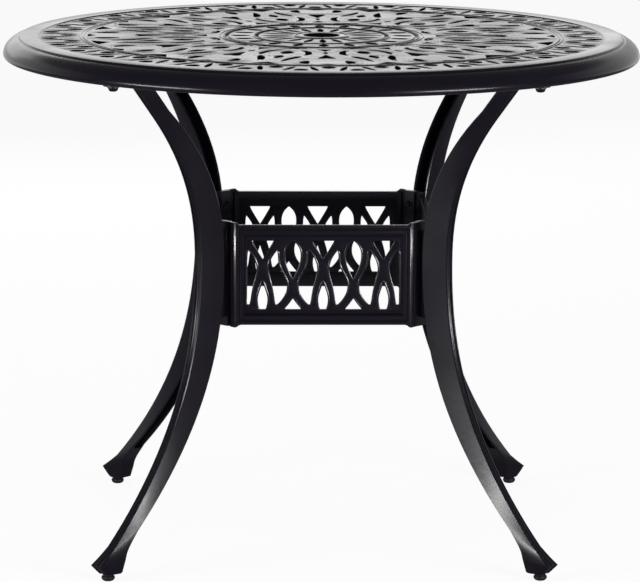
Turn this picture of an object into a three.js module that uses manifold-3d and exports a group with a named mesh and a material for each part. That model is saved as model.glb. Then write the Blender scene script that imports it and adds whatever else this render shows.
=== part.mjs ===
// A round patio table of cast aluminium with an umbrella hole: a lattice top in one casting, four bowed
// channel legs, a box of four lattice brace panels between the legs, and a levelling glide under each foot.
// Millimetres, Z up. The origin is on the ground under the umbrella hole. The front faces -Y.
import * as THREE from 'three';
import { mergeVertices } from 'three/addons/utils/BufferGeometryUtils.js';
import Module from 'manifold-3d';

const wasm = await Module();
wasm.setup();

// Whole table
const tableHeight = 730;
const topRadius = 457;
const seatGap = 0.3; // between two pieces that touch
const mergeDistance = 0.001; // corners closer than this are one corner
const overrun = 2; // how far a cutter runs past the face it opens

// Top casting
const plateThickness = 8;
const rimHeight = 30;
const rimWall = 7;
const rimLedgeWidth = 25; // from the edge of the flat top out to the widest line of the rim
const umbrellaHoleDiameter = 52;
const hubWall = 9;
const hubDepth = 26;
const ringRibWidth = 8;
const ringRibDepth = 6;
const topSides = 44; // facets round the casting, a multiple of 4 so that it is as wide as it is deep
const seatBite = 2; // how far a leg's seat runs up into the plate
// The shoulder of the rim, as shares of the ledge's width inwards and of the rim's height upwards
const rimShoulderShares = [[0.1, 0.42], [0.36, 0.72], [0.72, 0.87]];

// Lattice of the top, from the hub outwards
const rosetteInnerRadius = 42;
const rosetteOuterRadius = 87;
const medallionInnerRadius = 98;
const medallionOuterRadius = 137;
const fieldInnerRadius = 150;
const fieldOuterRadius = 339;
const borderInnerRadius = 349;
const borderOuterRadius = 405;
const rosettePetals = 20;
const fieldSectors = 12;
const borderRepeats = 32;
const slotHalfWidth = 6.4;
const plateSlotHalfWidth = 7;
const petalHalfWidth = 4.6;
const medallionHalfWidth = 7.5;
const borderHoleHalfWidth = 7;
const borderHoleLength = 26;
const podMargin = 4.5; // from the medallion's edges to the tips of its pods
const slotBluntShare = 0.6; // the lower, the blunter the ends of a hole
const podBluntShare = 0.7;
const petalBluntShare = 1;
const swanSteps = 5; // stretches along each edge of a hole
const shieldSteps = 3;
const podSteps = 3;
const petalSteps = 2;

// Leg, measured in its own upright plane: reach is the distance from the axis of the table, setback the
// distance in from the widest line of the rim, and drop the distance down from the table's surface
const waistDrop = 300;
const waistSetback = 205;
const waistDepth = 42;
const neckDrop = 90; // below this the leg is bowed, and above it straight
const neckOuterSetback = 124.6;
const neckInnerDrop = 78;
const neckInnerSetback = 138.5;
const bowPower = 2.25; // 2 bends the bow like a parabola, more keeps it upright for longer at the waist
const lowerBowSteps = 6;
const upperBowSteps = 4;
const instepSetback = 34.5;
const instepHeight = 45;
const calfSetback = 76.5;
const calfHeight = 66;
const bridgeSetback = 19.5;
const bridgeHeight = 34;
const heelTopSetback = 58;
const heelTopHeight = 42;
const toeSetback = 5.5;
const toeHeight = 24.4;
const heelSetback = 46;
const heelHeight = 11.3;
const scallopSetback = 15.5; // deepest line of the hollow between the toe and the sole
const scallopHeight = 15;
const footFrontSetback = 21;
const footBackSetback = 43;
const footBottomHeight = 10;
const legFaceWidth = 13;
const instepFaceWidth = 15.5;
const toeFaceWidth = 21;
const legBackWidth = 26;
const beadHeight = 1.3;
const beadInset = 2.2;
const legWeb = 7;
const legSideWall = 4;

// Leg head and its seat under the top
const headThickness = 8;
const headWidth = 28;
const headSides = 4; // facets round each end
const outerBoltSetback = 43;
const innerBoltSetback = 114;
const topSeatDrop = 2; // the seats stop this far above the lower edge of the rim
const topSeatMargin = 3;

// Brace box
const cornerStandoff = 10.1; // from a leg's inner edge at the waist in to the corner face of the box
const cornerCut = 34.1; // how far a corner of the box is cut back along each side
const panelBelowWaist = 94.6; // from the waist of the legs down to the lower edge of a panel
const panelHeight = 143;
const frameDepth = 9;
const railWidth = 21;
const stileWidth = 16.5;
const borderStep = 3.2;
const borderStepWidth = 6;
const latticeDepth = 5;
const latticePitchShare = 0.795; // pitch of the crossings, of half the window's width
const crossingsPerSide = 1; // beside the one in the middle of the panel
const wingThickness = 4;
const wingRise = 3.6;
const wingLap = 9;
const joggleRun = 5;
const wingBeadWidth = 5;
const wingBeadHeight = 1.2;
const bracePadWidth = 10;
const bracePadMargin = 9;
const bracePadBite = 6; // how far the pad runs into the web of the leg
const braceBoltInset = 16.6;

// Fasteners and glides
const topBoltDiameter = 8;
const topBoltHeadDiameter = 14;
const topBoltHeadHeight = 5;
const topBoltGrip = 14; // thread inside the seat of the top
const topWasherDiameter = 17;
const topWasherThickness = 1.6;
const braceBoltDiameter = 5;
const braceBoltHeadDiameter = 9.5;
const braceBoltHeadHeight = 3.6;
const braceBoltGrip = 16;
const braceWasherDiameter = 12;
const braceWasherThickness = 1.2;
const boreClearance = 0.3;
const crownWidthShare = 0.6; // flat of a bolt head, of its width
const crownHeightShare = 0.9; // where the head starts to round, of its height
const topBoltSides = 8;
const braceBoltSides = 6;
const glideDiameter = 19;
const glideSetback = 30;
const glideFlatDiameter = 11;
const glideFlank = 4;
const glideSides = 12;
const studDiameter = 8;
const studInGlide = 5.4;
const studInFoot = 24;

const halfTurn = Math.PI;
const quarterTurn = halfTurn / 2;
const eighthTurn = halfTurn / 4;

// Places worked out from the sizes
const plateUnderside = tableHeight - plateThickness;
const rimBottom = tableHeight - rimHeight;
const topSeatHeight = rimBottom + topSeatDrop;
const headTop = topSeatHeight - seatGap;
const headBottom = headTop - headThickness;
const waistHeight = tableHeight - waistDrop;
const panelBottom = waistHeight - panelBelowWaist;
const outerBoltReach = topRadius - outerBoltSetback;
const innerBoltReach = topRadius - innerBoltSetback;
const glideReach = topRadius - glideSetback;
const waistReach = topRadius - waistSetback;
const waist = { outer: [waistReach, waistHeight], inner: [waistReach - waistDepth, waistHeight] };
const neck = {
  outer: [topRadius - neckOuterSetback, tableHeight - neckDrop],
  inner: [topRadius - neckInnerSetback, tableHeight - neckInnerDrop],
};
const ankle = {
  outer: [topRadius - instepSetback, instepHeight],
  inner: [topRadius - calfSetback, calfHeight],
};
const bridge = {
  outer: [topRadius - bridgeSetback, bridgeHeight],
  inner: [topRadius - heelTopSetback, heelTopHeight],
};
const toe = {
  outer: [topRadius - toeSetback, toeHeight],
  inner: [topRadius - (heelTopSetback + heelSetback) / 2, (heelTopHeight + heelHeight) / 2],
};
const scallop = {
  outer: [topRadius - scallopSetback, scallopHeight],
  inner: [topRadius - heelSetback, heelHeight],
};
const sole = {
  outer: [topRadius - footFrontSetback, footBottomHeight],
  inner: [topRadius - footBackSetback, footBottomHeight],
};
// From the axis to the corner face and to the front face of the box, half of a panel's straight length, and
// from the end of a panel to the leg's plane
const chamferReach = waist.inner[0] - cornerStandoff;
const braceHalfSize = (chamferReach * Math.SQRT2 + cornerCut) / 2;
const panelHalfLength = (chamferReach * Math.SQRT2 - cornerCut) / 2;
const wingToCorner = cornerCut / Math.SQRT2;
const innerWingFace = chamferReach - 2 * wingThickness - seatGap;
const braceBoltHeights = {
  lower: panelBottom + braceBoltInset,
  upper: panelBottom + panelHeight - braceBoltInset,
};
const topBoltReaches = { outer: outerBoltReach, inner: innerBoltReach };
const corners = {
  front_left: -3 * eighthTurn,
  front_right: -eighthTurn,
  back_right: eighthTurn,
  back_left: 3 * eighthTurn,
};

// Solids

function solidFrom(geometry) {
  const plain = geometry.clone();
  plain.deleteAttribute('normal');
  plain.deleteAttribute('uv');
  const merged = mergeVertices(plain, mergeDistance);
  const mesh = new wasm.Mesh({
    numProp: 3,
    vertProperties: new Float32Array(merged.attributes.position.array),
    triVerts: new Uint32Array(merged.index.array),
  });
  return new wasm.Manifold(mesh);
}

function geometryFrom(solid) {
  const mesh = solid.getMesh();
  const flat = new THREE.BufferGeometry();
  flat.setAttribute('position', new THREE.BufferAttribute(mesh.vertProperties, 3));
  flat.setIndex(new THREE.BufferAttribute(mesh.triVerts, 1));
  const faceted = flat.toNonIndexed();
  faceted.computeVertexNormals();
  return faceted;
}

function revolve(outline, sides) {
  const points = outline.map(([radius, height]) => new THREE.Vector2(radius, height));
  return new THREE.LatheGeometry(points, sides).rotateX(quarterTurn);
}

function shapeFrom(points) {
  return new THREE.Shape(points.map(([x, y]) => new THREE.Vector2(x, y)));
}

function extrude(shapes, depth) {
  return new THREE.ExtrudeGeometry(shapes, { depth, bevelEnabled: false });
}

function cylinderBetween(diameter, from, to, sides) {
  const geometry = new THREE.CylinderGeometry(diameter / 2, diameter / 2, to - from, sides);
  return geometry.rotateX(quarterTurn).translate(0, 0, (from + to) / 2);
}

// A closed solid through rings of equally many points, with flat ends
function loft(rings) {
  const count = rings[0].length;
  const sumOf = (ring) => ring.reduce((sum, point) => sum.add(point), new THREE.Vector3());
  const middle = (ring) => sumOf(ring).divideScalar(count);
  const points = [...rings.flat(), middle(rings[0]), middle(rings[rings.length - 1])];
  const firstMiddle = points.length - 2;
  const lastMiddle = points.length - 1;
  const lastRing = (rings.length - 1) * count;
  const index = [];
  for (let side = 0; side < count; side += 1) {
    const next = (side + 1) % count;
    for (let ring = 0; ring < lastRing; ring += count) {
      index.push(ring + side, ring + next, ring + count + next);
      index.push(ring + side, ring + count + next, ring + count + side);
    }
    index.push(firstMiddle, next, side);
    index.push(lastMiddle, lastRing + side, lastRing + next);
  }
  const geometry = new THREE.BufferGeometry().setFromPoints(points);
  geometry.setIndex(index);
  return geometry;
}

// Outlines of the holes in the top, in polar places: [radius, angle in radians]

function polar([radius, angle]) {
  return [radius * Math.cos(angle), radius * Math.sin(angle)];
}

// A hole that follows a centre line and swells from a pointed start to a pointed end
function leafOutline(centreline, halfWidth, steps, bluntShare) {
  const curve = new THREE.SplineCurve(centreline.map((place) => new THREE.Vector2(...polar(place))));
  const left = [];
  const right = [];
  for (let step = 1; step < steps; step += 1) {
    const share = step / steps;
    const point = curve.getPoint(share);
    const tangent = curve.getTangent(share);
    const half = halfWidth * Math.sin(halfTurn * share) ** bluntShare;
    left.push([point.x - tangent.y * half, point.y + tangent.x * half]);
    right.unshift([point.x + tangent.y * half, point.y - tangent.x * half]);
  }
  const start = curve.getPoint(0);
  const end = curve.getPoint(1);
  return [[start.x, start.y], ...left, [end.x, end.y], ...right];
}

// Places in a sector of the field are shares: of the way from the inner ring to the outer ring, and of the
// angle from the middle of the sector to its edge
function fieldPlace([outShare, acrossShare]) {
  const radius = fieldInnerRadius + (fieldOuterRadius - fieldInnerRadius) * outShare;
  return [radius, (acrossShare * halfTurn) / fieldSectors];
}

function mirrored(places) {
  return places.map(([outShare, acrossShare]) => [outShare, -acrossShare]);
}

const swanSlotShares = [
  [0.16, 0.66], [0.24, 0.47], [0.35, 0.41], [0.48, 0.53], [0.61, 0.68], [0.74, 0.78], [0.85, 0.8],
];
const shieldSlotShares = [[0.74, 0.34], [0.84, 0.37], [0.94, 0.34]];
const heartShares = [[0.37, 0], [0.48, 0.09], [0.57, 0.19], [0.6, 0], [0.57, -0.19], [0.48, -0.09]];
const gableShares = [[0.07, 0.23], [0.19, 0], [0.07, -0.23]];
const wedgeShares = [[0.86, 1], [0.98, 0.74], [0.98, 1.26]];
const teardropShares = [[0.2, 1], [0.27, 1.18], [0.35, 1.12], [0.42, 1], [0.35, 0.88], [0.27, 0.82]];
const budShares = [[0.47, 1], [0.56, 1.11], [0.66, 1], [0.56, 0.89]];
const eyeShares = [[0.02, 0.62], [0.08, 0.86], [0.08, 1.14], [0.02, 1.38]];

function sectorHoles() {
  const flat = (shares) => shares.map((share) => polar(fieldPlace(share)));
  const slot = (shares, half, steps) => leafOutline(shares.map(fieldPlace), half, steps, slotBluntShare);
  return [
    slot(swanSlotShares, slotHalfWidth, swanSteps),
    slot(mirrored(swanSlotShares), slotHalfWidth, swanSteps),
    slot(shieldSlotShares, plateSlotHalfWidth, shieldSteps),
    slot(mirrored(shieldSlotShares), plateSlotHalfWidth, shieldSteps),
    flat(heartShares),
    flat(gableShares),
    flat(wedgeShares),
    flat(teardropShares),
    flat(budShares),
    flat(eyeShares),
  ];
}

function turned(outline, angle) {
  const cos = Math.cos(angle);
  const sin = Math.sin(angle);
  return outline.map(([x, y]) => [x * cos - y * sin, x * sin + y * cos]);
}

function latticeHoles() {
  const holes = [];
  const fieldHoles = sectorHoles();
  for (let sector = 0; sector < fieldSectors; sector += 1) {
    for (const outline of fieldHoles) {
      holes.push(turned(outline, (sector * 2 * halfTurn) / fieldSectors));
    }
  }
  const petalPitch = (2 * halfTurn) / rosettePetals;
  for (let petal = 0; petal < rosettePetals; petal += 1) {
    const angle = petal * petalPitch;
    const spoke = [[rosetteInnerRadius, angle], [rosetteOuterRadius, angle]];
    holes.push(leafOutline(spoke, petalHalfWidth, petalSteps, petalBluntShare));
    const pod = [[medallionInnerRadius + podMargin, angle], [medallionOuterRadius - podMargin, angle]];
    holes.push(leafOutline(pod, medallionHalfWidth, podSteps, podBluntShare));
  }
  const borderPitch = (2 * halfTurn) / borderRepeats;
  for (let repeat = 0; repeat < borderRepeats; repeat += 1) {
    const angle = repeat * borderPitch;
    const low = [[borderInnerRadius, angle], [borderInnerRadius + borderHoleLength, angle]];
    const highAngle = angle + borderPitch / 2;
    const high = [[borderOuterRadius - borderHoleLength, highAngle], [borderOuterRadius, highAngle]];
    holes.push(leafOutline(low, borderHoleHalfWidth, podSteps, podBluntShare));
    holes.push(leafOutline(high, borderHoleHalfWidth, podSteps, podBluntShare));
  }
  return holes;
}

// Top casting

function topProfile() {
  const holeRadius = umbrellaHoleDiameter / 2;
  const flatRadius = topRadius - rimLedgeWidth;
  const ribCentre = (fieldOuterRadius + borderInnerRadius) / 2;
  const ribFoot = plateUnderside - ringRibDepth;
  const hubFoot = tableHeight - hubDepth;
  const lip = rimWall / 2;
  const skirt = topRadius - rimWall;
  const shoulder = rimShoulderShares.map(([inShare, upShare]) => [
    topRadius - rimLedgeWidth * inShare,
    rimBottom + rimHeight * upShare,
  ]);
  const profile = [
    [holeRadius, hubFoot],
    [holeRadius + hubWall, hubFoot],
    [holeRadius + hubWall, plateUnderside],
    [ribCentre - ringRibWidth / 2, plateUnderside],
    [ribCentre - ringRibWidth / 2, ribFoot],
    [ribCentre + ringRibWidth / 2, ribFoot],
    [ribCentre + ringRibWidth / 2, plateUnderside],
    [flatRadius, plateUnderside],
    [skirt - lip, rimBottom + rimHeight / 2],
    [skirt, rimBottom],
    [topRadius - lip, rimBottom],
    [topRadius, rimBottom + lip],
    ...shoulder,
    [flatRadius, tableHeight],
    [holeRadius, tableHeight],
  ];
  return [...profile, profile[0]];
}

// A bar with round ends, lying along X from one reach to the other
function stadium(fromReach, toReach, width, sides) {
  const half = width / 2;
  const points = [];
  for (let side = 0; side <= sides; side += 1) {
    const angle = -quarterTurn + (halfTurn * side) / sides;
    points.push([toReach + half * Math.cos(angle), half * Math.sin(angle)]);
  }
  for (let side = 0; side <= sides; side += 1) {
    const angle = quarterTurn + (halfTurn * side) / sides;
    points.push([fromReach + half * Math.cos(angle), half * Math.sin(angle)]);
  }
  return shapeFrom(points);
}

function boltHole(diameter, from, to, sides) {
  return cylinderBetween(diameter + 2 * boreClearance, from, to, sides);
}

function tableTop() {
  let solid = solidFrom(revolve(topProfile(), topSides));
  const holes = extrude(latticeHoles().map(shapeFrom), plateThickness + 2 * overrun);
  solid = solid.subtract(solidFrom(holes.translate(0, 0, plateUnderside - overrun)));
  for (const angle of Object.values(corners)) {
    const outline = stadium(innerBoltReach, outerBoltReach, headWidth + 2 * topSeatMargin, headSides);
    const seat = extrude(outline, plateUnderside - topSeatHeight + seatBite);
    solid = solid.add(solidFrom(seat.translate(0, 0, topSeatHeight).rotateZ(angle)));
    for (const reach of Object.values(topBoltReaches)) {
      const boreEnd = topSeatHeight + topBoltGrip + seatGap;
      const bore = boltHole(topBoltDiameter, topSeatHeight - overrun, boreEnd, topBoltSides);
      solid = solid.subtract(solidFrom(bore.translate(reach, 0, 0).rotateZ(angle)));
    }
  }
  return geometryFrom(solid);
}

// Leg: rings across the bow, each from a point of the outer edge to a point of the inner edge

// A point of the bow at a share of the height between the waist, which it leaves upright, and an end
function bowPoint(from, to, share) {
  return [from[0] + (to[0] - from[0]) * share ** bowPower, from[1] + (to[1] - from[1]) * share];
}

function bowStation(end, share) {
  return { outer: bowPoint(waist.outer, end.outer, share), inner: bowPoint(waist.inner, end.inner, share) };
}

// Stations of the leg from the foot up, each with the width of its outer face
function legStations() {
  const stations = [sole, scallop, toe].map((station) => ({ ...station, faceWidth: toeFaceWidth }));
  stations.push({ ...bridge, faceWidth: (toeFaceWidth + instepFaceWidth) / 2 });
  stations.push({ ...ankle, faceWidth: instepFaceWidth });
  const bow = [];
  for (let step = lowerBowSteps - 1; step > 0; step -= 1) bow.push(bowStation(ankle, step / lowerBowSteps));
  for (let step = 0; step <= upperBowSteps; step += 1) bow.push(bowStation(neck, step / upperBowSteps));
  const slope = (bowPower * (neck.outer[0] - waistReach)) / (neck.outer[1] - waistHeight);
  const topHeight = headBottom + headThickness / 2;
  const straightUp = ([reach, height]) => [reach + (topHeight - height) * slope, topHeight];
  bow.push({ outer: straightUp(neck.outer), inner: straightUp(neck.inner) });
  return [...stations, ...bow.map((station) => ({ ...station, faceWidth: legFaceWidth }))];
}

// One ring of the leg: a beaded outer face and a wider inner face with the channel in it
function legRing({ outer, inner, faceWidth }, channelShare) {
  const across = new THREE.Vector2(outer[0] - inner[0], outer[1] - inner[1]);
  const depth = across.length();
  across.divideScalar(depth);
  const place = (sideways, inward) =>
    new THREE.Vector3(outer[0] - across.x * inward, sideways, outer[1] - across.y * inward);
  const face = faceWidth / 2;
  const back = legBackWidth / 2;
  const mouth = back - legSideWall;
  const floor = depth + (legWeb - depth) * channelShare;
  const floorHalf = channelShare ? face + ((back - face) * floor) / depth - legSideWall : mouth / 2;
  return [
    place(-face, beadHeight),
    place(-face + beadInset, 0),
    place(-face + 2 * beadInset, beadHeight),
    place(face - 2 * beadInset, beadHeight),
    place(face - beadInset, 0),
    place(face, beadHeight),
    place(back, depth),
    place(mouth, depth),
    place(floorHalf, floor),
    place(-floorHalf, floor),
    place(-mouth, depth),
    place(-back, depth),
  ];
}

function leg() {
  const stations = legStations();
  const firstOpen = stations.findIndex(({ inner }) => inner[1] > calfHeight);
  const lastOpen = stations.length - 2;
  const channelShare = (place) => (place >= firstOpen && place <= lastOpen ? 1 : 0);
  const rings = stations.map((station, place) => legRing(station, channelShare(place)));
  let solid = solidFrom(loft(rings));
  const head = extrude(stadium(innerBoltReach, outerBoltReach, headWidth, headSides), headThickness);
  solid = solid.add(solidFrom(head.translate(0, 0, headBottom)));
  solid = solid.add(solidFrom(bracePad()));
  for (const reach of Object.values(topBoltReaches)) {
    const bore = boltHole(topBoltDiameter, headBottom - overrun, headTop + overrun, topBoltSides);
    solid = solid.subtract(solidFrom(bore.translate(reach, 0, 0)));
  }
  const braceBoreEnd = chamferReach + braceBoltGrip + seatGap;
  for (const height of Object.values(braceBoltHeights)) {
    const bore = boltHole(braceBoltDiameter, chamferReach - overrun, braceBoreEnd, braceBoltSides);
    solid = solid.subtract(solidFrom(bore.rotateY(quarterTurn).translate(0, 0, height)));
  }
  const studBoreEnd = footBottomHeight + studInFoot + seatGap;
  const studBore = boltHole(studDiameter, footBottomHeight - overrun, studBoreEnd, topBoltSides);
  solid = solid.subtract(solidFrom(studBore.translate(glideReach, 0, 0)));
  return geometryFrom(solid);
}

// The seat on the inner side of the leg that the lapped wings are screwed to
function bracePad() {
  const from = chamferReach + seatGap;
  const to = waistReach - legWeb + bracePadBite;
  const height = panelHeight - 2 * bracePadMargin;
  const pad = new THREE.BoxGeometry(to - from, bracePadWidth, height);
  return pad.translate((from + to) / 2, 0, panelBottom + panelHeight / 2);
}

// Brace panel, made facing -Y with its front face at y = 0 and its lower edge at z = 0

const windowHalfWidth = panelHalfLength - stileWidth;
const windowHeight = panelHeight - 2 * railWidth;

// Outlines of the holes between the interlaced bands, each from the middle of a crossing or of the space
// between two crossings: places are shares, of the pitch sideways and of the window upwards
const veeShares = [[0.182, 0.985], [0.033, 0.767], [0, 0.723]];
const spindleShares = [[0, 0.406], [0.054, 0.262], [0.079, 0.14], [0.047, 0.01]];
const onionShares = [[0, 0.983], [0.082, 0.911], [0.125, 0.792], [0.105, 0.65], [0, 0.441]];
const tentShares = [[0, 0.163], [0.084, 0.067], [0.142, 0.01]];
const nearSideShares = [[0.236, 0.847], [0.14, 0.723], [0.1, 0.579], [0.152, 0.376], [0.217, 0.079]];
const farSideShares = [[0.271, 0.099], [0.362, 0.206], [0.401, 0.327], [0.28, 0.6], [0.249, 0.792]];
const frameSideShares = [[0.254, 0.099], [0.254, 0.653], [0.249, 0.792]];

function latticeHole(shares, centre, side) {
  const pitch = windowHalfWidth * latticePitchShare;
  return shares.map(([across, up]) => [(centre + side * across) * pitch, up * windowHeight]);
}

function evenHole(shares, centre) {
  const mirroredShares = shares.filter(([across]) => across > 0).reverse();
  return [...latticeHole(shares, centre, 1), ...latticeHole(mirroredShares, centre, -1)];
}

function windowHoles() {
  const holes = [];
  for (let crossing = -crossingsPerSide; crossing <= crossingsPerSide; crossing += 1) {
    holes.push(evenHole(veeShares, crossing), evenHole(spindleShares, crossing));
    for (const side of [-1, 1]) {
      const far = side * crossing === crossingsPerSide ? frameSideShares : farSideShares;
      holes.push(latticeHole([...nearSideShares, ...far], crossing, side));
    }
    const space = crossing + 1 / 2;
    if (crossing < crossingsPerSide) holes.push(evenHole(onionShares, space), evenHole(tentShares, space));
  }
  return holes;
}

function rectangle(halfWidth, from, to) {
  return [[-halfWidth, from], [halfWidth, from], [halfWidth, to], [-halfWidth, to]];
}

// Turns an outline drawn in x and z, and extruded, to stand upright with its front at y = front
function upright(geometry, front, depth) {
  return geometry.rotateX(quarterTurn).translate(0, front + depth, 0);
}

// Wing in plan, as [along the chamfer, behind it]. The outer wing stays on the corner face of the box, and
// the inner wing steps back behind the outer wing of the next panel.
function wingPlan(inner) {
  const step = inner ? wingThickness + seatGap : 0;
  const end = wingToCorner + wingLap;
  const stepEnd = wingToCorner - wingLap - seatGap;
  const front = [[0, 0], [wingBeadWidth, 0]];
  if (inner) front.push([stepEnd - joggleRun, 0], [stepEnd, step]);
  front.push([end, step]);
  const back = front.map(([along, depth]) => [along, depth + wingThickness]).reverse();
  const bead = [wingBeadWidth / 2, -wingBeadHeight];
  return [front[0], bead, ...front.slice(1), ...back];
}

function wing(side) {
  const plan = wingPlan(side < 0).map(([along, depth]) => [
    side * (panelHalfLength + (along - depth) * Math.SQRT1_2),
    (along + depth) * Math.SQRT1_2,
  ]);
  const body = extrude(shapeFrom(plan), panelHeight + 2 * wingRise);
  let solid = solidFrom(body.translate(0, 0, -wingRise));
  const lapDepth = 2 * wingThickness + seatGap;
  for (const height of Object.values(braceBoltHeights)) {
    const bore = boltHole(braceBoltDiameter, -overrun, lapDepth + overrun, braceBoltSides);
    bore.rotateY(quarterTurn).rotateZ(quarterTurn + side * eighthTurn);
    const across = wingToCorner * Math.SQRT1_2;
    bore.translate(side * (panelHalfLength + across), across, height - panelBottom);
    solid = solid.subtract(solidFrom(bore));
  }
  return solid;
}

function bracePanel() {
  const windowBottom = railWidth;
  const windowTop = panelHeight - railWidth;
  const frame = shapeFrom(rectangle(panelHalfLength, 0, panelHeight));
  frame.holes.push(shapeFrom(rectangle(windowHalfWidth, windowBottom, windowTop)));
  let solid = solidFrom(upright(extrude(frame, frameDepth), 0, frameDepth));
  const step = borderStepWidth;
  const border = rectangle(windowHalfWidth + step, windowBottom - step, windowTop + step);
  const recess = upright(extrude(shapeFrom(border), borderStep + overrun), -overrun, borderStep + overrun);
  solid = solid.subtract(solidFrom(recess));
  const opening = rectangle(windowHalfWidth + seatGap, windowBottom - seatGap, windowTop + seatGap);
  const plate = solidFrom(upright(extrude(shapeFrom(opening), latticeDepth), borderStep, latticeDepth));
  const cutDepth = latticeDepth + 2 * overrun;
  const cutters = extrude(windowHoles().map(shapeFrom), cutDepth).translate(0, windowBottom, 0);
  const lattice = plate.subtract(solidFrom(upright(cutters, borderStep - overrun, cutDepth)));
  return geometryFrom(solid.add(lattice).add(wing(-1)).add(wing(1)));
}

// Fasteners, made upright with the underside of the head at z = 0 and the shank upwards

function bolt(diameter, [headDiameter, headHeight], length, sides) {
  const shank = diameter / 2;
  const head = headDiameter / 2;
  const crown = [head * crownWidthShare, -headHeight * crownHeightShare];
  const outline = [[0, -headHeight], crown, [head, 0], [shank, 0], [shank, length], [0, length]];
  return revolve(outline, sides);
}

function washer(innerDiameter, outerDiameter, thickness, sides) {
  const bore = innerDiameter / 2 + boreClearance;
  const outer = outerDiameter / 2;
  return revolve([[bore, 0], [outer, 0], [outer, thickness], [bore, thickness], [bore, 0]], sides);
}

const glideTop = footBottomHeight - seatGap;
const glideBore = glideTop - studInGlide;

function glide() {
  const bore = studDiameter / 2 + boreClearance;
  const rim = glideDiameter / 2;
  const flat = glideFlatDiameter / 2;
  const outside = [[0, 0], [flat, 0], [rim, glideFlank], [rim, glideTop]];
  const socket = [[bore, glideTop], [bore, glideBore], [0, glideBore]];
  return revolve([...outside, ...socket], glideSides);
}

function glideStud() {
  return cylinderBetween(studDiameter, glideBore + seatGap, footBottomHeight + studInFoot, topBoltSides);
}

// Assembly

function finish(color, roughness, metalness) {
  return new THREE.MeshStandardMaterial({ color, roughness, metalness });
}

const powderCoat = () => finish('#15141a', 0.42, 0.1);
const steel = () => finish('#8d8f92', 0.35, 0.9);
const blackenedSteel = () => finish('#1c1b20', 0.4, 0.6);
const glidePlastic = () => finish('#1a1a1c', 0.6, 0);

function piece(name, geometry, material) {
  const mesh = new THREE.Mesh(geometry, material);
  mesh.name = name;
  return mesh;
}

const table = new THREE.Group();
table.add(piece('table_top', tableTop(), powderCoat()));

const legGeometry = leg();
const topBoltLength = topWasherThickness + 2 * seatGap + headThickness + topBoltGrip;
const braceBoltLength = braceWasherThickness + 2 * seatGap + chamferReach - innerWingFace + braceBoltGrip;
const topBoltHead = [topBoltHeadDiameter, topBoltHeadHeight];
const braceBoltHead = [braceBoltHeadDiameter, braceBoltHeadHeight];
const topBolt = bolt(topBoltDiameter, topBoltHead, topBoltLength, topBoltSides);
const topWasher = washer(topBoltDiameter, topWasherDiameter, topWasherThickness, topBoltSides);
const braceBolt = bolt(braceBoltDiameter, braceBoltHead, braceBoltLength, braceBoltSides);
const braceWasher = washer(braceBoltDiameter, braceWasherDiameter, braceWasherThickness, braceBoltSides);

for (const [corner, angle] of Object.entries(corners)) {
  const legGroup = new THREE.Group();
  legGroup.rotation.z = angle;
  legGroup.add(piece(`leg_${corner}`, legGeometry, powderCoat()));
  for (const [place, reach] of Object.entries(topBoltReaches)) {
    const washerMesh = piece(`top_washer_${place}_${corner}`, topWasher, blackenedSteel());
    washerMesh.position.set(reach, 0, headBottom - seatGap - topWasherThickness);
    const boltMesh = piece(`top_bolt_${place}_${corner}`, topBolt, blackenedSteel());
    boltMesh.position.set(reach, 0, headBottom - 2 * seatGap - topWasherThickness);
    legGroup.add(washerMesh, boltMesh);
  }
  for (const [place, height] of Object.entries(braceBoltHeights)) {
    const washerMesh = piece(`brace_washer_${place}_${corner}`, braceWasher, blackenedSteel());
    washerMesh.position.set(innerWingFace - seatGap - braceWasherThickness, 0, height);
    washerMesh.rotation.y = quarterTurn;
    const boltMesh = piece(`brace_bolt_${place}_${corner}`, braceBolt, blackenedSteel());
    boltMesh.position.set(innerWingFace - 2 * seatGap - braceWasherThickness, 0, height);
    boltMesh.rotation.y = quarterTurn;
    legGroup.add(washerMesh, boltMesh);
  }
  const glideMesh = piece(`glide_${corner}`, glide(), glidePlastic());
  glideMesh.position.x = glideReach;
  const studMesh = piece(`glide_stud_${corner}`, glideStud(), steel());
  studMesh.position.x = glideReach;
  legGroup.add(glideMesh, studMesh);
  table.add(legGroup);
}

const panelGeometry = bracePanel();
const sides = { front: 0, right: quarterTurn, back: halfTurn, left: -quarterTurn };
for (const [side, angle] of Object.entries(sides)) {
  const turn = new THREE.Group();
  turn.rotation.z = angle;
  const panel = piece(`brace_${side}`, panelGeometry, powderCoat());
  panel.position.set(0, -braceHalfSize, panelBottom);
  turn.add(panel);
  table.add(turn);
}

export default table;
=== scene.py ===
import math
import bmesh
import bpy
from mathutils import Matrix, Vector


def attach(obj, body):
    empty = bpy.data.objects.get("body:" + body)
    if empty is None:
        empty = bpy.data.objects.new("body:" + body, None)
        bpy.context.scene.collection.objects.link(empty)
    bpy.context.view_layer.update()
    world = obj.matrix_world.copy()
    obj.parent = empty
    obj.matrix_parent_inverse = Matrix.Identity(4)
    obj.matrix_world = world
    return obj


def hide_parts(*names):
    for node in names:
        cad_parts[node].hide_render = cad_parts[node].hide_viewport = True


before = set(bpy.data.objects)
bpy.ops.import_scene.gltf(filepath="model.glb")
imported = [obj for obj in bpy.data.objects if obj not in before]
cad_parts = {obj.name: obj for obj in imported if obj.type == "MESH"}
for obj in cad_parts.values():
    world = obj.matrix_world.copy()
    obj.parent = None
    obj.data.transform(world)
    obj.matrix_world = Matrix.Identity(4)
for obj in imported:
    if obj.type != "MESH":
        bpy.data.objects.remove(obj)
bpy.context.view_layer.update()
millimetre = 0.001  # pieces are modelled in millimetres and scaled when they are finished
cornerAngles = {"front_left": -135, "front_right": -45, "back_right": 45, "back_left": 135}
sideAngles = {"front": 0, "right": 90, "back": 180, "left": -90}
print("stage 1: frame loaded")


# Camera and light

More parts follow.
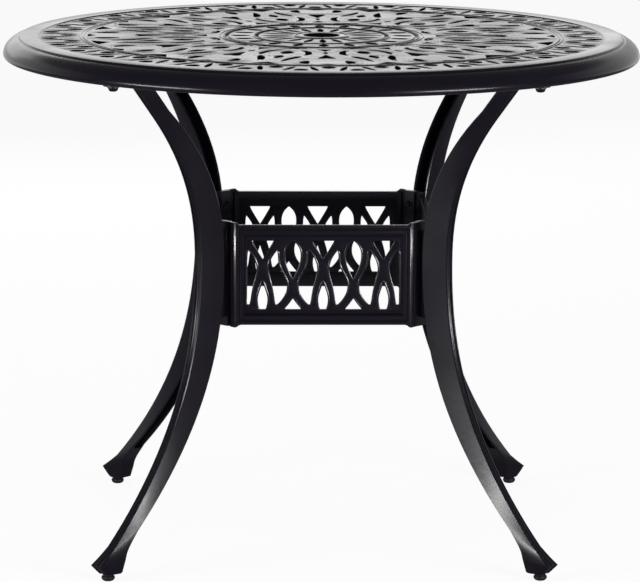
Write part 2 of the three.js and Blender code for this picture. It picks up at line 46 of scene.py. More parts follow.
cameraSetup = {
    "place": (-0.162, -5.838, 1.424),
    "tilt": 79.633,
    "roll": -0.322,
    "turn": -1.529,
    "lens": 229.6,
    "sensorWidth": 36,
}


def makeCamera(setup):
    cameraData = bpy.data.cameras.new("camera")
    cameraData.lens = setup["lens"]
    cameraData.sensor_width = setup["sensorWidth"]
    camera = bpy.data.objects.new("camera", cameraData)
    bpy.context.scene.collection.objects.link(camera)
    camera.location = setup["place"]
    camera.rotation_euler = [math.radians(setup[turn]) for turn in ("tilt", "roll", "turn")]
    bpy.context.scene.camera = camera
    bpy.context.scene.view_settings.view_transform = "Standard"


makeCamera(cameraSetup)

studio = {
    "lamps": [  # name, place, what it looks at, width, height, watts
        ("softboxLeft", (-2.84, -1.88, 0.6), (0, 0, 0.6), 1.5, 0.26, 42),
        ("softboxRight", (2.36, -2.48, 0.6), (0, 0, 0.6), 1.4, 0.26, 46),
        ("rearSoft", (-0.8, 3.6, 1.6), (0, 0, 0.6), 3.8, 1.4, 15),
    ],
    "worldLight": 0.2,
    "frontReflection": 0.1,
    "rearReflection": 0.70,
    "overheadReflection": 0.13,
    "sweep": (-0.05, 0.7),  # from the dark card to the white wall, by the sine of the bearing
    "rearWallTop": (0.38, 0.48),  # where the white wall behind ends, by the sine of the angle
    "floorColour": (0.93, 0.93, 0.935, 1),
    "paintedFloorReflection": (0.4, 0.4, 0.405, 1),  # painted darker reflection: mirrored rays see the floor in this darker colour, so the coat mirrors it darker than it looks
    "floorRoughness": 0.9,
    "floorSize": 30,
    "whiteFloor": (1.8, 3.4),  # where the floor behind the table starts and ends to turn white
    "floorGlowShare": 0.72,  # the rest is real shading, which keeps the shadow
    "floorGlow": 1.24,
}


def makeLamp(name, place, target, width, height, watts):
    lampData = bpy.data.lights.new(name, "AREA")
    lampData.shape = "RECTANGLE"
    lampData.size = width
    lampData.size_y = height
    lampData.energy = watts
    lamp = bpy.data.objects.new(name, lampData)
    bpy.context.scene.collection.objects.link(lamp)
    lamp.location = place
    lamp.rotation_euler = (Vector(target) - Vector(place)).to_track_quat("-Z", "Y").to_euler()
    lamp.visible_camera = False


def ramp(nodes, links, value, fromRange, toRange=(0, 1)):  # maps one range of a value to another
    mapped = nodes.new("ShaderNodeMapRange")
    mapped.inputs["From Min"].default_value, mapped.inputs["From Max"].default_value = fromRange
    mapped.inputs["To Min"].default_value, mapped.inputs["To Max"].default_value = toRange
    links.new(value, mapped.inputs["Value"])
    return mapped.outputs["Result"]


def mixed(nodes, links, kind, share, first, second):  # first and second are each a constant or a socket
    mix = nodes.new("ShaderNodeMix")
    mix.data_type = kind
    links.new(share, mix.inputs["Factor"])
    for name, value in (("A", first), ("B", second)):
        if isinstance(value, bpy.types.NodeSocket):
            links.new(value, mix.inputs[name])
        else:
            mix.inputs[name].default_value = value
    return mix.outputs["Result"]


def makeWorld(setup):
    world = bpy.data.worlds.new("studioWorld")
    world.use_nodes = True
    bpy.context.scene.world = world
    nodes, links = world.node_tree.nodes, world.node_tree.links
    nodes.clear()
    rays = nodes.new("ShaderNodeLightPath")
    direction = nodes.new("ShaderNodeTexCoord")
    split = nodes.new("ShaderNodeSeparateXYZ")
    links.new(direction.outputs["Generated"], split.inputs["Vector"])
    reflections = (setup["frontReflection"], setup["rearReflection"])
    around = ramp(nodes, links, split.outputs["Y"], setup["sweep"], reflections)
    above = ramp(nodes, links, split.outputs["Z"], setup["rearWallTop"])  # above the wall it is dark again
    wall = mixed(nodes, links, "FLOAT", above, around, setup["overheadReflection"])
    strength = mixed(nodes, links, "FLOAT", rays.outputs["Is Glossy Ray"], setup["worldLight"], wall)
    seen = mixed(nodes, links, "FLOAT", rays.outputs["Is Camera Ray"], strength, 1)
    background = nodes.new("ShaderNodeBackground")
    background.inputs["Color"].default_value = (1, 1, 1, 1)
    links.new(seen, background.inputs["Strength"])
    output = nodes.new("ShaderNodeOutputWorld")
    links.new(background.outputs["Background"], output.inputs["Surface"])


def makeFloor(setup):
    floorMesh = bmesh.new()
    bmesh.ops.create_grid(floorMesh, x_segments=1, y_segments=1, size=setup["floorSize"])
    mesh = bpy.data.meshes.new("floor")
    floorMesh.to_mesh(mesh)
    floorMesh.free()
    floor = bpy.data.objects.new("floor", mesh)
    bpy.context.scene.collection.objects.link(floor)
    material = bpy.data.materials.new("floorPaper")
    material.use_nodes = True
    nodes, links = material.node_tree.nodes, material.node_tree.links
    shader = nodes["Principled BSDF"]
    shader.inputs["Roughness"].default_value = setup["floorRoughness"]
    shader.inputs["Specular IOR Level"].default_value = 0
    rays = nodes.new("ShaderNodeLightPath")
    mirrored = rays.outputs["Is Glossy Ray"]
    # painted darker reflection: the floor takes a darker colour in mirrored rays
    paper = mixed(nodes, links, "RGBA", mirrored, setup["floorColour"], setup["paintedFloorReflection"])
    links.new(paper, shader.inputs["Base Color"])
    place = nodes.new("ShaderNodeTexCoord")
    split = nodes.new("ShaderNodeSeparateXYZ")
    links.new(place.outputs["Object"], split.inputs["Vector"])
    behind = ramp(nodes, links, split.outputs["Y"], setup["whiteFloor"])
    glowing = nodes.new("ShaderNodeMath")  # to the camera, and in mirrored rays behind the table
    glowing.operation = "MULTIPLY_ADD"
    for socket, value in zip(glowing.inputs, (mirrored, behind, rays.outputs["Is Camera Ray"])):
        links.new(value, socket)
    share = nodes.new("ShaderNodeMath")
    share.operation = "MULTIPLY"
    share.inputs[1].default_value = setup["floorGlowShare"]
    links.new(glowing.outputs["Value"], share.inputs[0])
    glow = nodes.new("ShaderNodeEmission")
    glow.inputs["Strength"].default_value = setup["floorGlow"]
    blend = nodes.new("ShaderNodeMixShader")
    links.new(share.outputs["Value"], blend.inputs["Fac"])
    links.new(shader.outputs["BSDF"], blend.inputs[1])
    links.new(glow.outputs["Emission"], blend.inputs[2])
    links.new(blend.outputs["Shader"], nodes["Material Output"].inputs["Surface"])
    mesh.materials.append(material)


for lamp in studio["lamps"]:
    makeLamp(*lamp)
makeWorld(studio)
makeFloor(studio)
print("stage 2: camera, light and floor")


# Materials

coatFinish = {
    "metallic": 0,
    "dark": (0.0062, 0.0044, 0.0100, 1),
    "light": (0.0106, 0.0078, 0.0162, 1),
    # painted highlight: the lighter colour that outer edges get
    "edgeHighlight": (0.016, 0.013, 0.020, 1),
    "specular": 0.36,
    "edgeSpecular": 1.0,
    "roughLow": 0.17,
    "roughHigh": 0.27,
    "cloudScale": 9,
    "peelScale": 620,
    "castScale": 95,
    "peelBump": 0.05,
    "castBump": 0.10,
}
steelFinish = {
    "metallic": 0.5,
    "dark": (0.010, 0.010, 0.012, 1),
    "light": (0.022, 0.021, 0.025, 1),
    # painted highlight: the lighter colour that outer edges get
    "edgeHighlight": (0.10, 0.10, 0.105, 1),
    "specular": 0.5,
    "edgeSpecular": 0.5,
    "roughLow": 0.28,
    "roughHigh": 0.45,
    "cloudScale": 60,
    "peelScale": 1500,
    "castScale": 400,
    "peelBump": 0.04,
    "castBump": 0.04,
}
glideFinish = {
    "metallic": 0,
    "dark": (0.008, 0.008, 0.009, 1),
    "light": (0.018, 0.018, 0.020, 1),
    # painted highlight: the lighter colour that outer edges get
    "edgeHighlight": (0.03, 0.03, 0.032, 1),
    "specular": 0.5,
    "edgeSpecular": 0.5,
    "roughLow": 0.42,
    "roughHigh": 0.60,
    "cloudScale": 50,
    "peelScale": 1800,
    "castScale": 500,
    "peelBump": 0.06,
    "castBump": 0.05,
}
studFinish = {
    "metallic": 1,
    "dark": (0.30, 0.30, 0.32, 1),
    "light": (0.48, 0.48, 0.50, 1),
    # painted highlight: the lighter colour that outer edges get
    "edgeHighlight": (0.60, 0.60, 0.61, 1),
    "specular": 0.5,
    "edgeSpecular": 0.5,
    "roughLow": 0.28,
    "roughHigh": 0.45,
    "cloudScale": 80,
    "peelScale": 1500,
    "castScale": 500,
    "peelBump": 0.04,
    "castBump": 0.03,
}


castTexture = {  # the same for all the finishes
    "highlightEdges": (0.53, 0.61),  # the pointiness at which outer edges begin to take the painted highlight colour, and take it fully
    "cloudRange": (0.3, 0.7),
    "cloudDetail": 4,
    "castDetail": 3,
    "castDepth": 0.0006,
    "peelDetail": 2,
    "peelDepth": 0.0002,
}


def noiseField(nodes, links, place, scale, detail):
    noise = nodes.new("ShaderNodeTexNoise")
    noise.inputs["Scale"].default_value = scale
    noise.inputs["Detail"].default_value = detail
    links.new(place.outputs["Object"], noise.inputs["Vector"])
    return noise.outputs["Fac"]


def bumpOf(nodes, links, height, strength, depth):
    bump = nodes.new("ShaderNodeBump")
    bump.inputs["Strength"].default_value = strength
    bump.inputs["Distance"].default_value = depth
    links.new(height, bump.inputs["Height"])
    return bump


def castMaterial(name, finish, texture):
    material = bpy.data.materials.new(name)
    material.use_nodes = True
    nodes, links = material.node_tree.nodes, material.node_tree.links
    shader = nodes["Principled BSDF"]
    shader.inputs["Metallic"].default_value = finish["metallic"]
    place = nodes.new("ShaderNodeTexCoord")
    clouds = noiseField(nodes, links, place, finish["cloudScale"], texture["cloudDetail"])
    tint = mixed(nodes, links, "RGBA", clouds, finish["dark"], finish["light"])
    geometry = nodes.new("ShaderNodeNewGeometry")
    edges = ramp(nodes, links, geometry.outputs["Pointiness"], texture["highlightEdges"])
    # painted highlight: outer edges are coloured lighter
    colour = mixed(nodes, links, "RGBA", edges, tint, finish["edgeHighlight"])
    links.new(colour, shader.inputs["Base Color"])
    gleam = ramp(nodes, links, edges, (0, 1), (finish["specular"], finish["edgeSpecular"]))
    links.new(gleam, shader.inputs["Specular IOR Level"])
    sheen = ramp(nodes, links, clouds, texture["cloudRange"], (finish["roughLow"], finish["roughHigh"]))
    links.new(sheen, shader.inputs["Roughness"])
    cast = noiseField(nodes, links, place, finish["castScale"], texture["castDetail"])
    castBump = bumpOf(nodes, links, cast, finish["castBump"], texture["castDepth"])
    peel = noiseField(nodes, links, place, finish["peelScale"], texture["peelDetail"])
    peelBump = bumpOf(nodes, links, peel, finish["peelBump"], texture["peelDepth"])
    links.new(castBump.outputs["Normal"], peelBump.inputs["Normal"])
    links.new(peelBump.outputs["Normal"], shader.inputs["Normal"])
    return material


powderCoat = castMaterial("powderCoat", coatFinish, castTexture)
darkSteel = castMaterial("darkSteel", steelFinish, castTexture)
glideNylon = castMaterial("glideNylon", glideFinish, castTexture)
studSteel = castMaterial("studSteel", studFinish, castTexture)
print("stage 3: materials")


# Making and finishing pieces

mergeDistance = 0.0005
lineSteps = 4  # how many places a smooth line gets for each given one
outlineSteps = 3
fillTurn = Matrix.Rotation(math.radians(7.3), 2)  # the fill goes wrong where many corners lie exactly level


def finishMesh(shape, name, material, smoothAngle=32):
    bmesh.ops.remove_doubles(shape, verts=shape.verts, dist=mergeDistance)
    bmesh.ops.recalc_face_normals(shape, faces=shape.faces)
    bmesh.ops.scale(shape, vec=(millimetre,) * 3, verts=shape.verts)
    mesh = bpy.data.meshes.new(name)
    shape.to_mesh(mesh)
    shape.free()
    mesh.shade_smooth()
    mesh.set_sharp_from_angle(angle=math.radians(smoothAngle))
    mesh.materials.append(material)
    return mesh


def placePiece(name, mesh, body, replaced):
    piece = bpy.data.objects.new(name, mesh)
    bpy.context.scene.collection.objects.link(piece)
    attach(piece, body)
    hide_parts(replaced)
    return piece


def turnedMesh(mesh, name, angle, shift=(0, 0, 0)):
    copy = mesh.copy()
    copy.name = name
    copy.transform(Matrix.Rotation(math.radians(angle), 4, "Z") @ Matrix.Translation(Vector(shift)))
    return copy


def polar(radius, degrees):
    return Vector((radius * math.cos(math.radians(degrees)), radius * math.sin(math.radians(degrees))))


def smoothLine(points, steps):  # a smooth line through the points, each a vector in the plane
    ends = [2 * points[0] - points[1], *points, 2 * points[-1] - points[-2]]
    line = []
    for place in range(len(points) - 1):
        before, start, end, after = ends[place:place + 4]
        for step in range(steps):
            share = step / steps
            pull = (end - before) * share + (2 * before - 5 * start + 4 * end - after) * share ** 2
            pull += (3 * start - before - 3 * end + after) * share ** 3
            line.append(start + pull / 2)
    return [*line, points[-1]]


def sides(line, offset):  # the line moved sideways
    moved = []
    for place, point in enumerate(line):
        along = line[min(place + 1, len(line) - 1)] - line[max(place - 1, 0)]
        along.normalize()
        moved.append(point + Vector((-along.y, along.x)) * offset)
    return moved


def leaf(line, halfWidth, blunt):  # a hole along a line, with both ends drawn in
    last = len(line) - 1
    left, right = [], []
    for place in range(1, last):
        swell = halfWidth * math.sin(math.pi * place / last) ** blunt
        left.append(sides(line, swell)[place])
        right.insert(0, sides(line, -swell)[place])
    return [line[0], *left, line[-1], *right]


def ringOutline(radius, steps):
    return [polar(radius, 360 * step / steps) for step in range(steps)]


def windingArea(outline):
    return sum(a.x * b.y - b.x * a.y for a, b in zip(outline, outline[1:] + outline[:1]))


def slab(outline, holes, bottom, top, edge):  # a flat plate with holes and rounded edges, from a filled curve
    curve = bpy.data.curves.new("slab", "CURVE")
    curve.dimensions = "2D"
    curve.fill_mode = "BOTH"
    curve.bevel_depth = edge
    curve.bevel_resolution = 1
    curve.offset = -edge
    curve.extrude = (top - bottom) / 2 - edge
    for number, points in enumerate([outline, *holes]):
        wanted = 1 if number == 0 else -1
        if windingArea(points) * wanted < 0:
            points = points[::-1]
        spline = curve.splines.new("POLY")
        spline.points.add(len(points) - 1)
        for point, place in zip(spline.points, points):
            point.co = (*(fillTurn @ place), 0, 1)
        spline.use_cyclic_u = True
    holder = bpy.data.objects.new("slab", curve)
    bpy.context.scene.collection.objects.link(holder)
    made = bpy.data.meshes.new_from_object(holder.evaluated_get(bpy.context.evaluated_depsgraph_get()))
    bpy.data.objects.remove(holder)
    shape = bmesh.new()
    shape.from_mesh(made)
    bmesh.ops.rotate(shape, cent=(0, 0, 0), matrix=fillTurn.inverted().to_3x3(), verts=shape.verts)
    bmesh.ops.translate(shape, vec=(0, 0, (top + bottom) / 2), verts=shape.verts)
    return shape


def rotate(shape, degrees, axis):
    turn = Matrix.Rotation(math.radians(degrees), 3, axis)
    bmesh.ops.rotate(shape, cent=(0, 0, 0), matrix=turn, verts=shape.verts)
    return shape


def addShape(target, added):
    mesh = bpy.data.meshes.new("joined")
    added.to_mesh(mesh)
    added.free()
    target.from_mesh(mesh)


def spun(profile, steps, closed):  # turns a profile of (radius, height) round the upright axis
    shape = bmesh.new()
    points = [shape.verts.new((radius, 0, height)) for radius, height in profile]
    pairs = list(zip(points, points[1:]))
    if closed:
        pairs.append((points[-1], points[0]))
    lines = [shape.edges.new(pair) for pair in pairs]
    bmesh.ops.spin(shape, geom=points + lines, cent=(0, 0, 0), axis=(0, 0, 1), angle=math.tau,
                   steps=steps, use_merge=True, use_duplicate=False)
    bmesh.ops.remove_doubles(shape, verts=shape.verts, dist=mergeDistance)
    return shape


def looped(rings, joinEnds):  # bridges rings of places into a skin, and closes its ends
    shape = bmesh.new()
    loops = []
    for ring in rings:
        corners = [shape.verts.new(place) for place in ring]
        loops.append([shape.edges.new((a, b)) for a, b in zip(corners, corners[1:] + corners[:1])])
    pairs = list(zip(loops, loops[1:]))
    if joinEnds:
        pairs.append((loops[-1], loops[0]))
    for first, second in pairs:
        bmesh.ops.bridge_loops(shape, edges=first + second)
    if not joinEnds:
        bmesh.ops.holes_fill(shape, edges=loops[0] + loops[-1], sides=0)
    return shape


def sweep(line, section, height):  # carries a section of (across, up) along a line in the plane
    rings = []
    for place, point in enumerate(line):
        along = line[min(place + 1, len(line) - 1)] - line[max(place - 1, 0)]
        along.normalize()
        across = Vector((-along.y, along.x))
        rings.append([(*(point + across * side), height + up) for side, up in section])
    return looped(rings, False)


# Cast top

topCasting = {
    "radius": 457,
    "height": 730,
    "latticeDrop": 1.0,
    "plateThickness": 8,
    "rimHeight": 30,
    "holeRadius": 26,
    "hubRadius": 35,
    "hubDepth": 26,
    "latticeRadius": 409,
    "flatRadius": 432,
    "edgeRound": 0.9,
    "sectors": 12,
    "petals": 20,
    "borderRepeats": 32,
    "holeBlunt": 0.7,  # how blunt the ends of the long holes are, the less the blunter
    "swanHalfWidth": 5.4,
    "shieldSlotHalfWidth": 7,
    "petalHalfWidth": 4.8,
    "petalReaches": (43, 66, 87),
    "petalBlunt": 0.9,
    "podHalfWidth": 7.2,
    "podReaches": (102.5, 117, 130.5),
    "borderHoleHalfWidth": 9.6,
    "slitHalfWidth": 4.0,
    "strapHalfWidth": 4.6,
    "ridgeHalfWidth": 1.0,
    "ridgeHeight": 1.0,
    "strapRise": 0.18,
    "plateJoints": (28, 93.5, 136.5, 341.5),
    "grooves": (93.5, 136.5),
    "grooveHalfWidth": 2.7,
    "grooveDepth": 3.4,
    "grooveLift": 0.1,
    "rings": (38.5, 98, 141, 146.5, 341.5, 346.5),
    "rimLap": 3,  # how far the flat ring lies over the lattice plate
    "rib": (340, 348, 716),  # inner and outer radius and foot of the ring rib
    "ribRound": 0.6,
    "ribSink": 1,
    "seat": (343, 414, 34, 702),  # reaches, width and underside of a leg seat
    "seatRound": 0.8,
    "seatSteps": 10,
    "seatSink": 2,
    "plateSteps": 200,
    "ringSteps": 180,
    "rimSteps": 220,
    "hubSteps": 64,
}


def byAngle(places, mirror=1):  # places as (radius, degrees from the middle of a sector)
    return [polar(radius, degrees * mirror) for radius, degrees in places]


# Outlines and lines of the lattice, as (radius, degrees from the middle of a sector)
seam = 15  # degrees from the middle of a sector to its edge
swanNeck = ((178, 10.7), (193, 7.3), (216, 6.2), (236, 7.4))
swanBack = ((244, 8.2), (258, 9.5), (280, 11.2), (306, 12))
shieldLine = ((291, 5.2), (310, 5.9), (329, 5.3))
innerStrap = ((161, 13.5), (172, 7.9), (190, 4.7), (215, 3.8), (240, 4.5), (260, 6), (285, 8.1), (308, 9),
              (327, 6.6), (336, 2.4))
loopStrap = ((180, 15), (184, 12.6), (195, 10), (213, 9.1), (237, 10.6), (260, 12.6), (282, 14.2), (292, 15))
heartEdge = ((221, 0), (236, 1), (250, 2), (261, 2.7), (268, 1.9), (263, 0))
teardropEdge = ((189, 15), (197, 17.1), (208, 17.5), (216, 16.6), (222, 15))
budEdge = ((236, 15), (248, 16.3), (260, 16.3), (272, 15))
lensEdge = ((151, 15), (154.5, 19.5), (161, 21), (163, 15))
smallOutlines = (
    ((166, 3.4), (176, 1.4), (187, 0), (176, -1.4), (166, -3.4), (164.5, 0)),
    ((324, 0), (335, 2.6), (336.5, 0), (335, -2.6)),
    ((313, 15), (335, 18.8), (336, 15), (335, 11.2)),
    ((196, 0.5), (205, 0.85), (214, 0.5), (214, -0.5), (205, -0.85), (196, -0.5)),
)
borderRows = ((351, 363, 376), (379, 391, 404))
slitLine = ((354, 3.9), (378, 3), (402, 2.1))


def longHole(places, halfWidth, blunt, mirror=1):
    return leaf(smoothLine(byAngle(places, mirror), lineSteps), halfWidth, blunt)


def mirroredEdge(places, middle):  # a closed outline from its one half
    mirrored = [(radius, 2 * middle - degrees) for radius, degrees in places]
    there, back = (smoothLine(byAngle(half), outlineSteps) for half in (places, mirrored))
    return [*there, *back[-2:0:-1]]


def sectorHoles(setup):
    swan, slot = setup["swanHalfWidth"], setup["shieldSlotHalfWidth"]
    holes = []
    for mirror in (1, -1):
        for line, halfWidth in ((swanNeck, swan), (swanBack, swan), (shieldLine, slot)):
            holes.append(longHole(line, halfWidth, setup["holeBlunt"], mirror))
    holes.append(mirroredEdge(heartEdge, 0))
    holes += [mirroredEdge(edge, seam) for edge in (teardropEdge, budEdge, lensEdge)]
    return holes + [byAngle(outline) for outline in smallOutlines]


def turnedOutline(outline, degrees):
    turn = Matrix.Rotation(math.radians(degrees), 2)
    return [turn @ point for point in outline]


def fieldHoles(setup):
    holes = []
    for sector in range(setup["sectors"]):
        for outline in sectorHoles(setup):
            holes.append(turnedOutline(outline, sector * 360 / setup["sectors"]))
    return holes


def petalHoles(setup, reaches, halfWidth, blunt):
    holes = []
    for petal in range(setup["petals"]):
        angle = petal * 360 / setup["petals"]
        holes.append(longHole([(reach, angle) for reach in reaches], halfWidth, blunt))
    return holes


def borderHoles(setup):
    holes = []
    pitch = 360 / setup["borderRepeats"]
    for repeat in range(setup["borderRepeats"]):
        angle = repeat * pitch
        for row, reaches in enumerate(borderRows):
            places = [(reach, angle + row * pitch / 2) for reach in reaches]
            holes.append(longHole(places, setup["borderHoleHalfWidth"], setup["holeBlunt"]))
        for side in (-1, 1):
            places = [(reach, angle + side * across) for reach, across in slitLine]
            holes.append(longHole(places, setup["slitHalfWidth"], setup["holeBlunt"]))
    return holes


def ridgeSection(setup, rise):  # (across, up)
    side = ((1, -0.8), (1, 0.05), (0.75, rise * 0.8), (0.45, rise))
    half = setup["ridgeHalfWidth"]
    return [(-half * across, up) for across, up in side] + [(half * across, up) for across, up in side[::-1]]


def addStraps(shape, setup, height):  # the two raised edges of each strap of the lattice
    section = ridgeSection(setup, setup["strapRise"])
    offset = setup["strapHalfWidth"] - setup["ridgeHalfWidth"]
    for sector in range(setup["sectors"]):
        for mirror in (1, -1):
            for places in (innerStrap, loopStrap):
                line = smoothLine(byAngle(places, mirror), outlineSteps)
                line = turnedOutline(line, sector * 360 / setup["sectors"])
                for side in (-offset, offset):
                    addShape(shape, sweep(sides(line, side), section, height))


rimSlope = ((0, 0), (1.4, 0.5), (2, 1.9), (2.8, 2.9), (4.2, 3.1), (7.5, 3.7), (12, 5.6), (16.5, 8.6),
            (20.5, 12.6), (23.4, 17.4))  # out from the flat ring, down from the top
rimLip = ((0.2, 7.6), (0, 5), (0.6, 2.6), (2.4, 0.7), (4.6, 0), (6.2, 0.5), (7.2, 2), (9, 13),
          (15, 19))  # in from the rim, up from its lower edge


def rimProfile(setup):
    radius, top, flat = setup["radius"], setup["height"], setup["flatRadius"]
    bottom = top - setup["rimHeight"]
    under = top - setup["plateThickness"]
    start = setup["latticeRadius"] - setup["rimLap"]
    slope = [(flat + out, top - down) for out, down in rimSlope]
    lip = [(radius - inward, bottom + up) for inward, up in rimLip]
    return [(start, under), (start, top - 0.8), (start + 1, top), *slope, *lip, (flat, under)]


def hubProfile(setup):
    inner, outer, top = setup["holeRadius"], setup["hubRadius"], setup["height"]
    foot = top - setup["hubDepth"]
    return [
        (inner, foot + 1), (inner, top - 1.2), (inner + 1.2, top - 0.2), (inner + 3, top), (outer - 3, top),
        (outer - 0.6, top - 0.6), (outer, top - 2), (outer, foot + 1), (outer - 1, foot), (inner + 1, foot),
    ]


def stadium(fromReach, toReach, width, steps):
    half = width / 2
    arc = [Vector((half * math.cos(a), half * math.sin(a))) for a in
           (-math.pi / 2 + math.pi * step / steps for step in range(steps + 1))]
    return [Vector((toReach, 0)) + point for point in arc] + [Vector((fromReach, 0)) - point for point in arc]


def addGrooves(shape, setup, lattice, under):
    for radius in setup["grooves"]:
        half = setup["grooveHalfWidth"] + setup["edgeRound"]
        deep, low = lattice - setup["grooveDepth"], under + setup["grooveLift"]
        section = [(radius - half, low), (radius - half, deep), (radius + half, deep), (radius + half, low)]
        addShape(shape, spun(section, setup["ringSteps"], True))


def addUnderside(shape, setup, under):  # the ring rib and the leg seats
    inner, outer, foot = setup["rib"]
    soft, root = setup["ribRound"], under + setup["ribSink"]
    section = [(inner, foot + soft), (inner + soft, foot), (outer - soft, foot), (outer, foot + soft),
               (outer, root), (inner, root)]
    addShape(shape, spun(section, setup["ringSteps"], True))
    fromReach, toReach, width, seatFoot = setup["seat"]
    outline = stadium(fromReach, toReach, width, setup["seatSteps"])
    for angle in cornerAngles.values():
        seat = slab(outline, [], seatFoot, under + setup["seatSink"], setup["seatRound"])
        addShape(shape, rotate(seat, angle, "Z"))


def makeTop(setup):
    top = setup["height"]
    lattice = top - setup["latticeDrop"]
    under = top - setup["plateThickness"]
    edge = setup["edgeRound"]
    hub, petals, pods, field = setup["plateJoints"]
    petalRing = petalHoles(setup, setup["petalReaches"], setup["petalHalfWidth"], setup["petalBlunt"])
    podRing = petalHoles(setup, setup["podReaches"], setup["podHalfWidth"], setup["holeBlunt"])
    plates = [  # each ring of the plate is filled by itself, and the flats of neighbours just meet
        (hub, petals, petalRing),
        (petals, pods, podRing),
        (pods, field, fieldHoles(setup)),
        (field, setup["latticeRadius"], borderHoles(setup)),
    ]
    shape = bmesh.new()
    for inner, outer, holes in plates:
        outerGap = -setup["grooveHalfWidth"] if outer in setup["grooves"] else edge
        innerGap = -setup["grooveHalfWidth"] if inner in setup["grooves"] else edge
        outline = ringOutline(outer + outerGap, setup["plateSteps"])
        middle = ringOutline(inner - innerGap, setup["plateSteps"])
        addShape(shape, slab(outline, [middle, *holes], under, lattice, edge))
    addGrooves(shape, setup, lattice, under)
    print("  lattice plate:", len(shape.faces), "faces")
    addStraps(shape, setup, lattice)
    addShape(shape, spun(rimProfile(setup), setup["rimSteps"], True))
    addShape(shape, spun(hubProfile(setup), setup["hubSteps"], True))
    for radius in setup["rings"]:
        section = [(radius + side, lattice + up) for side, up in ridgeSection(setup, setup["ridgeHeight"])]
        addShape(shape, spun(section, setup["ringSteps"], True))
    addUnderside(shape, setup, under)
    mesh = finishMesh(shape, "top_casting", powderCoat)
    placePiece("top_casting", mesh, "frame", "table_top")


makeTop(topCasting)
print("stage 4: cast top")


# Legs

legCasting = {  # stations: outer reach and height, inner reach and height, half the width of the outer face
    "sole": (436, 10, 414, 10, 9.6),
    "scallop": (441.5, 15, 411, 11.3, 10.2),
    "toe": (451.5, 24.4, 405, 26.65, 10.5),
    "bridge": (437.5, 34, 399, 42, 9.1),
    "ankle": (422.5, 45, 380.5, 66, 7.75),
    "waist": (252, 430, 210, 430, 6.5),
    "neck": (332.4, 640, 318.5, 652, 6.5),
    "bowPower": 2.25,
    "flarePower": 9,
    "headHeight": 697.7,
    "backHalf": 13,
    "mouthHalf": 9,
    "mouthLip": 0.6,
    "mouthRound": 0.7,
    "closedHalf": 4.5,  # half the width of the channel's floor where it is closed
    "web": 7,
    "sideWall": 4,
    "footSteps": 5,
    "scallopStart": 0.15,  # where the bends of the sole and of the toe begin
    "toeStart": 0.93,
    "channelEnd": 0.3,  # how open the channel still is at the ankle
    "channelRamp": 9,
    "lowerSteps": 26,
    "upperSteps": 16,
    "head": (343, 414, 28, 693.7, 701.7),  # reaches, width, underside, top
    "headRound": 0.9,
    "headSteps": 12,
    "pad": (200.2, 251, 10, 344.4, 469.4),  # reaches, width, lower and upper end
    "padRound": 1,
    "smoothAngle": 11,  # small, so that the wide side faces aren't shaded by their edges
}
edgeBead = ((0, 2.5), (0.62, 1.05), (1.1, 0.52), (2.2, 0.04), (2.8, 0), (3.2, 0.25), (3.55, 0.9),
            (3.9, 1.7))  # (in from the side, behind the face)
faceShare = ((0.3, 1.2), (0.18, 0.8), (0.06, 0.6))  # (share of half the face, behind it)
backEdge = ((0.1, 2.4), (0, 1.2), (0.5, 0.3), (1.3, 0))  # (in from the side, in front of the back)


def bowStation(setup, end, share):  # the bow leaves the waist upright
    powers = (setup["bowPower"], 1, setup["bowPower"], 1, setup["flarePower"])
    return Vector([start + (finish - start) * share ** power
                   for start, finish, power in zip(setup["waist"], setup[end], powers)])


def legStations(setup):  # (station, how open the channel is)
    sole, scallop, toe = (Vector(setup[name]) for name in ("sole", "scallop", "toe"))
    hollow, bend = sole.lerp(scallop, setup["scallopStart"]), scallop.lerp(toe, setup["toeStart"])
    stations = [(station, 0) for station in (sole, hollow, scallop, bend)]
    foot = smoothLine([toe, Vector(setup["bridge"]), Vector(setup["ankle"])], setup["footSteps"])
    stations += [(station, 0) for station in foot[:-1]]
    for step in range(setup["lowerSteps"], 0, -1):
        share = step / setup["lowerSteps"]
        openness = min(1, (1 - share) * setup["channelRamp"] + setup["channelEnd"])
        stations.append((bowStation(setup, "ankle", share), openness))
    for step in range(setup["upperSteps"] + 1):
        stations.append((bowStation(setup, "neck", step / setup["upperSteps"]), 1))
    neck = Vector(setup["neck"])
    slope = setup["bowPower"] * (neck[0] - setup["waist"][0]) / (neck[1] - setup["waist"][1])
    for share in (0.5, 1):
        outerRise, innerRise = ((setup["headHeight"] - height) * share for height in (neck[1], neck[3]))
        raised = neck + Vector((outerRise * slope, outerRise, innerRise * slope, innerRise, 0))
        stations.append((raised, 1 if share < 1 else 0))
    return stations


def legRing(setup, station, openness):
    across = Vector((station[0] - station[2], station[1] - station[3]))
    depth = across.length
    across.normalize()
    face, back = station[4], setup["backHalf"]
    floor = depth + (setup["web"] - depth) * openness
    floorHalf = setup["closedHalf"]
    if openness:
        floorHalf = face + (back - face) * floor / depth - setup["sideWall"]
    mouth, drop = setup["mouthHalf"], setup["mouthRound"] * openness
    half = [(face * share, inward) for share, inward in faceShare[::-1]]
    half += [(face - edge, inward) for edge, inward in edgeBead[::-1]]
    half += [(back - edge, depth - inward) for edge, inward in backEdge]
    half += [(mouth + setup["mouthLip"], depth), (mouth, depth - drop), (floorHalf, floor)]
    ring = [(-side, inward) for side, inward in half[::-1]] + half
    return [(station[0] - across.x * inward, side, station[1] - across.y * inward) for side, inward in ring]


